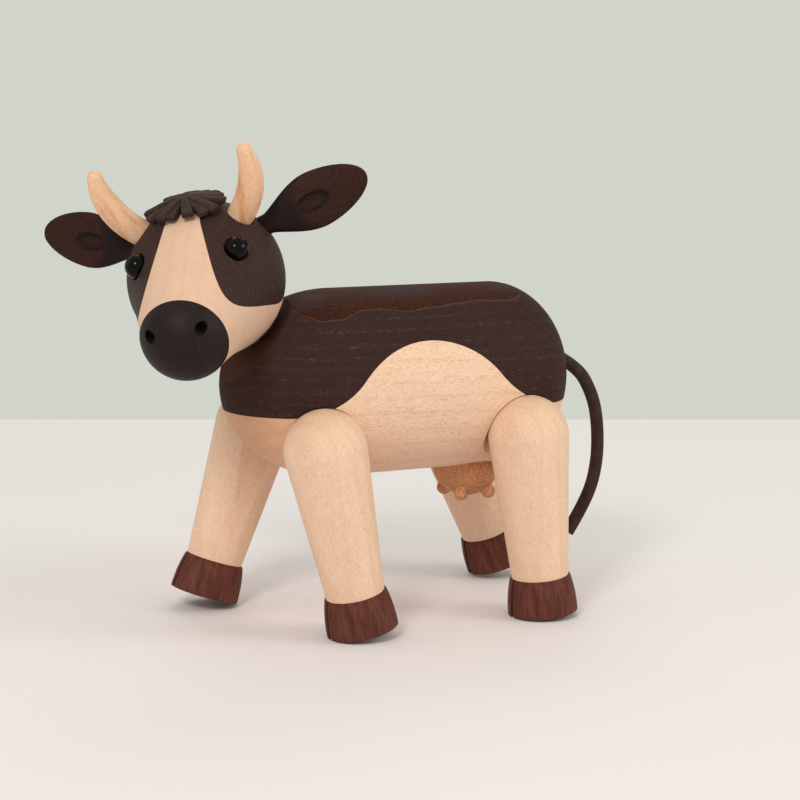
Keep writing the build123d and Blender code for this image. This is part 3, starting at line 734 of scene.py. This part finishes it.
class COW_OT_horns(bpy.types.Operator):
    """Make the horns, curved and tapering to a round tip, in warm streaked maple"""

    bl_idname = "cow.horns"
    bl_label = "Horns"

    def execute(self, context):
        sizes, colours = context.scene.cow_sizes, context.scene.cow_colours
        for side, word in ((-1, "left"), (1, "right")):
            along = in_head((0, side * 20, 28), (-0.1, side * 0.2, 1), (1, 0, 0))
            look = maple(word + "_horn_wood", along, colours.horn, colours.horn_deep, streak=0.55)
            mesh = closed_bars(word + "_carved_horn", horn_rings(sizes, side))
            mesh.transform(head_frame())
            add_piece(word + "_carved_horn", mesh, look, "head", "horn_wood", word + "_horn")
        return {"FINISHED"}


def ear_rings(sizes, steps=110, sides=144):
    """One ear in the frame of its leaf, Z along it and X out of its front.

    The half width rises with the sine of the way from the neck of the leaf to its widest place, and then falls as
    the root of 1 - t to the power 1.7 to a round tip. Both faces are crowned, thinner to the tip and to the edge, and
    the front has an oval hollow."""
    reach, wide = sizes.ear_length, sizes.ear_width / 2
    neck, edge, start, widest, tip = 3.1 * MM, 0.8 * MM, -2.2 * MM, 16.0 * MM, 1.4 * MM
    along = start + (reach - start) * np.sin(np.linspace(0, pi / 2, steps))[:, None]
    rise = np.clip(along / widest, 0, 1)
    fall = np.clip((along - widest) / (reach - widest), 0, 1)
    half = (neck + (wide - neck) * np.sin(pi / 2 * rise) ** 1.2) * np.sqrt(1 - fall**1.7) + 1e-6
    around = np.linspace(0, 2 * pi, sides, endpoint=False)
    share = np.cos(around)
    y = half * share
    middle = sizes.ear_thickness / 2 * (1 - 0.43 * np.clip(along / reach, 0, 1))
    end = np.sqrt(1 - np.clip((along - reach + tip) / tip, 0, 1) ** 2)
    face = (edge + (middle - edge) * (1 - share**2)) * np.sqrt(1 - share**8) * end
    oval = 1 - ((along / MM - HOLLOW_ALONG) / HOLLOW_HALF_LENGTH) ** 2 - (y / MM / HOLLOW_HALF_WIDTH) ** 2
    hollow = HOLLOW_DEPTH * MM * np.clip(oval, 0, 1) ** 0.6
    x = np.where(np.sin(around) < 0, face - hollow, -face)
    return np.stack(np.broadcast_arrays(x, y, along), -1)[None]


class COW_OT_ears(bpy.types.Operator):
    """Make the ears, leaves of dark wood with an oval hollow and the grain along the leaf"""

    bl_idname = "cow.ears"
    bl_label = "Ears"

    def execute(self, context):
        sizes, colours = context.scene.cow_sizes, context.scene.cow_colours
        for side, word in ((-1, "left"), (1, "right")):
            mirror = np.array((1, side, 1))
            leaf = in_head(EAR_SEAT * mirror, EAR_ALONG * mirror, EAR_FACING * mirror)
            deep = (colours.black, colours.black)
            # The ear's reddish layer also carries painted shade round the rim of its hollow
            look = smoked(word + "_ear_wood", leaf, colours, 2.8, 0.12, deep, warm=self.outer_layer_and_hollow_shade)
            mesh = closed_bars(word + "_carved_ear", ear_rings(sizes))
            mesh.transform(leaf)
            add_piece(word + "_carved_ear", mesh, look, "head", "dark_wood", word + "_ear")
        return {"FINISHED"}

    @staticmethod
    def outer_layer_and_hollow_shade(place):
        """The reddish layer on the outer part of the leaf, past a bowed edge, held back round the oval hollow as
        painted shade on its rim, with its middle lighter.
        """
        across, along = place.axes()[1:]
        cloud = place.noise(0.2, 2.0) - 0.5
        outer = ((along - 8.0 - across * across * 0.06) / 3.0 + cloud * 1.2).ramp((0.0, 0.0), (0.8, 0.62))
        away = (along - HOLLOW_ALONG) / HOLLOW_HALF_LENGTH
        aside = across / HOLLOW_HALF_WIDTH
        oval = away * away + aside * aside
        # Round the hollow's rim the reddish layer gives way to the near black ground: painted shade; the middle keeps
        # more of the layer
        return outer * (oval / 2.0).ramp((0.0, 0.8), (0.22, 0.35), (0.42, 0.0), (0.60, 0.25), (0.80, 1.0)), None


class COW_OT_legs(bpy.types.Operator):
    """Finish the legs in maple, each with the grain along itself"""

    bl_idname = "cow.legs"
    bl_label = "Legs"

    def execute(self, context):
        colours = context.scene.cow_colours
        leg_top = (0, 12, 0.22)
        for leg in LEGS:
            look = maple(leg + "_leg_wood", leg_frame(leg), colours.maple, colours.maple_deep, end=leg_top)
            paint([leg + "_leg"], look)
        return {"FINISHED"}


class COW_OT_hooves(bpy.types.Operator):
    """Finish the hooves in streaked reddish wood"""

    bl_idname = "cow.hooves"
    bl_label = "Hooves"

    def execute(self, context):
        colours = context.scene.cow_colours
        for leg in LEGS:
            look = streaked(leg + "_hoof_wood", leg_frame(leg), colours.hoof_light, colours.hoof)
            paint([leg + "_hoof"], look)
        return {"FINISHED"}


def udder_rings(sizes, centre, top, steps=48, sides=72):
    """The udder's ball from its lowest point up to a height inside the belly, where it is cut flat.

    A ring's height is the centre's less the radius times the cosine of the way up."""
    radius = sizes.udder_radius
    up = np.linspace(0.01, np.arccos((centre[2] - top) / radius), steps)[:, None]
    around = np.linspace(0, 2 * pi, sides, endpoint=False)
    x = centre[0] + radius * np.sin(up) * np.cos(around)
    y = centre[1] + radius * np.sin(up) * np.sin(around)
    z = centre[2] - radius * np.cos(up) + 0 * around
    return np.stack([x, y, z], -1)[None]


def teat_rings(sizes, centre, steps=24, sides=32):
    """The four teats, each a short round bar that leans out from the udder's middle and ends in a half ball.

    A ring's radius is the teat's, swelling by a tenth to the end, times the root of 1 - s s over the half ball."""
    proud, bar = 3.3 * MM, 7.0 * MM
    radius, reach = sizes.teat_radius, sizes.udder_radius + proud
    lean = np.array([(x, y, -1.55) for x in (-0.82, 0.82) for y in (-1.0, 1.0)])
    lean /= np.linalg.norm(lean, axis=1, keepdims=True)
    across = np.cross(lean, (1, 0, 0))
    across /= np.linalg.norm(across, axis=1, keepdims=True)
    third = np.cross(lean, across)
    run = np.sin(np.linspace(0, pi / 2, steps))
    along = reach - bar + bar * run
    share = np.clip((along - reach + radius) / radius, 0, 1)
    thick = radius * (1 + 0.1 * run) * np.sqrt(1 - 0.999 * share**2)
    around = np.linspace(0, 2 * pi, sides, endpoint=False)
    ring = across[:, None] * np.cos(around)[:, None] + third[:, None] * np.sin(around)[:, None]
    middle = np.array(centre) + lean[:, None] * along[:, None]
    return middle[:, :, None] + thick[:, None, None] * ring[:, None]


class COW_OT_udder(bpy.types.Operator):
    """Make the udder and its four teats in tan wood"""

    bl_idname = "cow.udder"
    bl_label = "Udder"

    def execute(self, context):
        sizes, colours = context.scene.cow_sizes, context.scene.cow_colours
        low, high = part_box("udder")
        drop, height = 1.2 * MM, 12 * MM
        middle = (low + high) / 2
        centre = (middle.x, 0, low.z + sizes.udder_radius - drop)
        look = streaked(
            "udder_wood", grain_frame(centre, (0.5, 0.3, 1), (1, 0.4, 0)), colours.udder, colours.udder_deep, 0.7
        )
        ball = closed_bars("udder_ball", udder_rings(sizes, centre, low.z + height))
        add_piece("udder_ball", ball, look, "torso", "udder_wood", "udder")
        knobs = closed_bars("udder_teats", teat_rings(sizes, centre))
        add_piece("udder_teats", knobs, look, "torso", "udder_wood", "teats")
        return {"FINISHED"}


class COW_OT_joinery(bpy.types.Operator):
    """Finish the dowels, the neck's stud and its fittings, and the hip rings"""

    bl_idname = "cow.joinery"
    bl_label = "Joinery"

    def execute(self, context):
        colours = context.scene.cow_colours
        dowels = ["muzzle_dowel"] + [leg + kind for leg in LEGS for kind in ("_hip_dowel", "_hoof_dowel")]
        paint(dowels, maple("dowel_wood", Matrix.Identity(4), colours.beech, colours.maple_deep))
        steel = ["neck_stud", "neck_nut", "neck_spring_washer", "neck_cross_pin"]
        paint(steel, metal("turned_steel", colours.steel, 0.48))
        # The bush is painted near black: painted shade in the neck's gap
        paint(["neck_bush"], metal("turned_brass_dark_as_shade", colours.brass, 0.30))
        rubber = Finish("ring_rubber")
        rubber.set(Base_Color=colours.rubber, Roughness=0.6 + rubber.place.noise(2.0) * 0.2)
        paint(["hip_friction_rings"], rubber.material)
        return {"FINISHED"}


def soft_box(name, place, aim, size, watts, colour=(1, 1, 1)):
    """A square soft lamp at a place, turned to a point."""
    lamp = bpy.data.lights.new(name, "AREA")
    lamp.size = size
    lamp.energy = watts
    lamp.color = colour
    holder = bpy.data.objects.new(name, lamp)
    bpy.context.scene.collection.objects.link(holder)
    holder.location = place
    holder.rotation_euler = (Vector(aim) - Vector(place)).to_track_quat("-Z", "Y").to_euler()


class COW_OT_stage(bpy.types.Operator):
    """Lay the floor and set the soft light and the camera"""

    bl_idname = "cow.stage"
    bl_label = "Stage"

    def execute(self, context):
        stage = context.scene.cow_stage
        self.lay_floor(stage)
        self.light(stage)
        target = Vector(stage.target)
        back = Vector(
            (
                sin(stage.azimuth) * cos(stage.elevation),
                -cos(stage.azimuth) * cos(stage.elevation),
                sin(stage.elevation),
            )
        )
        camera = bpy.data.cameras.new("camera")
        camera.lens = stage.lens
        camera.clip_start = 0.01
        holder = bpy.data.objects.new("camera", camera)
        context.scene.collection.objects.link(holder)
        holder.location = target + back * stage.distance
        holder.rotation_euler = (-back).to_track_quat("-Z", "Y").to_euler()
        context.scene.camera = holder
        context.scene.view_settings.view_transform = "Standard"
        return {"FINISHED"}

    def lay_floor(self, stage, behind=0.395, before=0.62, half_width=0.65):
        """A flat floor level with the soles, square to the camera, from behind the cow to below the camera."""
        mesh = bpy.data.meshes.new("floor")
        turn = turned(stage.azimuth, (0, 0, 1))
        middle = Vector((stage.target[0], stage.target[1], 0))
        corners = ((-half_width, -before), (half_width, -before), (half_width, behind), (-half_width, behind))
        mesh.from_pydata([turn @ Vector((x, y, 0)) + middle for x, y in corners], [], [(0, 1, 2, 3)])
        floor = bpy.data.objects.new("floor", mesh)
        bpy.context.scene.collection.objects.link(floor)
        finish = Finish("floor_paper")
        finish.set(Base_Color=stage.floor, Roughness=0.85, Specular_IOR_Level=0.2)
        mesh.materials.append(finish.material)

    def light(self, stage):
        """A large soft lamp at the left in front, a weaker one at the right, and an even pale surround."""
        aim = (0, 0, 0.06)
        soft_box("key_lamp", (-0.70, -0.75, 0.80), aim, 0.28, 6.0, (1.0, 0.96, 0.92))
        soft_box("fill_lamp", (0.80, -0.70, 0.60), aim, 0.45, 3.4, (1.0, 0.97, 0.94))
        soft_box("back_lamp", (0.30, 0.80, 0.90), aim, 0.60, 2.0)
        world = bpy.context.scene.world or bpy.data.worlds.new("surround")
        bpy.context.scene.world = world
        world.use_nodes = True
        background = next(node for node in world.node_tree.nodes if node.type == "BACKGROUND")
        background.inputs["Color"].default_value = (*stage.surround, 1)


OPERATORS = (
    COW_OT_tail,
    COW_OT_forelock,
    COW_OT_torso,
    COW_OT_head,
    COW_OT_eyes,
    COW_OT_horns,
    COW_OT_ears,
    COW_OT_legs,
    COW_OT_hooves,
    COW_OT_udder,
    COW_OT_joinery,
    COW_OT_stage,
)


class COW_PT_panel(bpy.types.Panel):
    """The cow's sizes and colours, and a button for each of its pieces"""

    bl_label = "Jointed Wooden Cow"
    bl_space_type = "VIEW_3D"
    bl_region_type = "UI"
    bl_category = "Cow"

    def draw(self, context):
        for group in (context.scene.cow_sizes, context.scene.cow_colours, context.scene.cow_stage):
            for name in group.__annotations__:
                self.layout.prop(group, name)
        for operator in OPERATORS:
            self.layout.operator(operator.bl_idname)


GROUPS = {"cow_sizes": CowSizes, "cow_colours": CowColours, "cow_stage": CowStage}


def register():
    for name, group in GROUPS.items():
        bpy.utils.register_class(group)
        setattr(bpy.types.Scene, name, PointerProperty(type=group))
    for item in (*OPERATORS, COW_PT_panel):
        bpy.utils.register_class(item)


def unregister():
    for item in (COW_PT_panel, *reversed(OPERATORS)):
        bpy.utils.unregister_class(item)
    for name, group in GROUPS.items():
        delattr(bpy.types.Scene, name)
        bpy.utils.unregister_class(group)


def main():
    register()
    for operator in OPERATORS:
        group, name = operator.bl_idname.split(".")
        getattr(getattr(bpy.ops, group), name)()


if __name__ == "__main__":
    main()
